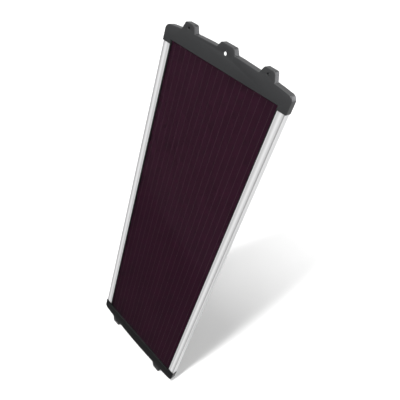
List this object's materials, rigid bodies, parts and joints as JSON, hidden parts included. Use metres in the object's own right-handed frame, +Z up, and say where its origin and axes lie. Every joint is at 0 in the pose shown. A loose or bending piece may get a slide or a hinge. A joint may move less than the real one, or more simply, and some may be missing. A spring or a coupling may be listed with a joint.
{
  "type": "solar panel",
  "caption": "Long framed thin-film solar panel: dark striped glass between silver side rails and black end caps with mounting tabs, and a junction box on its back.",
  "frame": {"origin": "middle of the panel's width and depth, at the lowest point, the ends of the lower tabs", "axes": "+Z up along the panel's length towards the cap with the hanging hole, +X across its width, to the right seen from the front, and the glass faces -Y"},
  "size_m": [0.338, 0.023, 1.006],
  "materials": {
    "cap_plastic": "fine moulded texture, satin black",
    "rail_aluminium": "satin silver anodised extrusion, fine lengthwise grain",
    "front_glass": "clear float glass",
    "cell_film": "dark purple-brown thin-film silicon with fine lengthwise scribed lines",
    "ribbon": "tinned copper strip",
    "encapsulant": "milky polymer sheet",
    "back_sheet": "off-white laminated sheet, fine weave",
    "gasket_rubber": "matt black rubber",
    "screw_steel": "zinc-plated steel",
    "foam_tape": "closed-cell foam",
    "box_plastic": "moulded black plastic",
    "terminal_plastic": "moulded nylon",
    "terminal_brass": "machined brass",
    "diode_case": "moulded epoxy case"
  },
  "bodies": {
    "root": {"end_cap_top": "cap_plastic", "end_cap_bottom": "cap_plastic", "side_rail_left": "rail_aluminium", "side_rail_right": "rail_aluminium", "front_glass": "front_glass", "thin_film_cells": "cell_film", "bus_ribbon_left": "ribbon", "bus_ribbon_right": "ribbon", "lead_ribbon_left": "ribbon", "lead_ribbon_right": "ribbon", "lead_insulating_strip": "encapsulant", "encapsulant_sheet": "encapsulant", "back_sheet": "back_sheet", "glazing_gasket_left": "gasket_rubber", "glazing_gasket_right": "gasket_rubber", "glazing_gasket_top": "gasket_rubber", "glazing_gasket_bottom": "gasket_rubber", "cap_screw_left_bottom_outer": "screw_steel", "cap_screw_left_bottom_inner": "screw_steel", "cap_screw_left_top_inner": "screw_steel", "cap_screw_left_top_outer": "screw_steel", "cap_screw_right_bottom_outer": "screw_steel", "cap_screw_right_bottom_inner": "screw_steel", "cap_screw_right_top_inner": "screw_steel", "cap_screw_right_top_outer": "screw_steel", "junction_box_pad": "foam_tape", "junction_box_base": "box_plastic", "junction_box_seal": "gasket_rubber", "junction_box_lid": "box_plastic", "lid_screw_top_left": "screw_steel", "lid_screw_top_right": "screw_steel", "lid_screw_bottom_left": "screw_steel", "lid_screw_bottom_right": "screw_steel", "cable_grommet": "gasket_rubber", "terminal_block": "terminal_plastic", "terminal_clamp_negative": "terminal_brass", "terminal_clamp_positive": "terminal_brass", "clamp_screw_negative": "screw_steel", "clamp_screw_positive": "screw_steel", "blocking_diode": "diode_case"}
  },
  "joints": []
}
